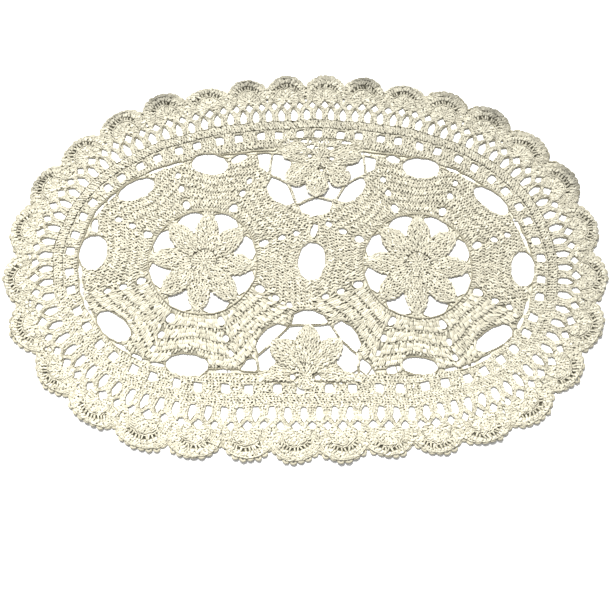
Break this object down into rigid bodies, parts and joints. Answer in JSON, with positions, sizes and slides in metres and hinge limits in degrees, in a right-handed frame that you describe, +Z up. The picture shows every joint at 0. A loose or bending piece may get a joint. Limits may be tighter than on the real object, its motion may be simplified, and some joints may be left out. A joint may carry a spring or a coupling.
{
  "type": "crochet table runner",
  "caption": "Oval openwork crochet table runner with flower medallions and a scalloped shell border, for lying flat on a table top.",
  "frame": {"origin": "middle of the flat underside, where it rests on the table", "axes": "+X along the runner, +Y across it towards the far edge, +Z up from the table"},
  "size_m": [0.5956, 0.4055, 0.0032],
  "materials": {
    "runner": "natural undyed cotton yarn, matte"
  },
  "bodies": {
    "root": {"runner": "runner"}
  },
  "joints": []
}
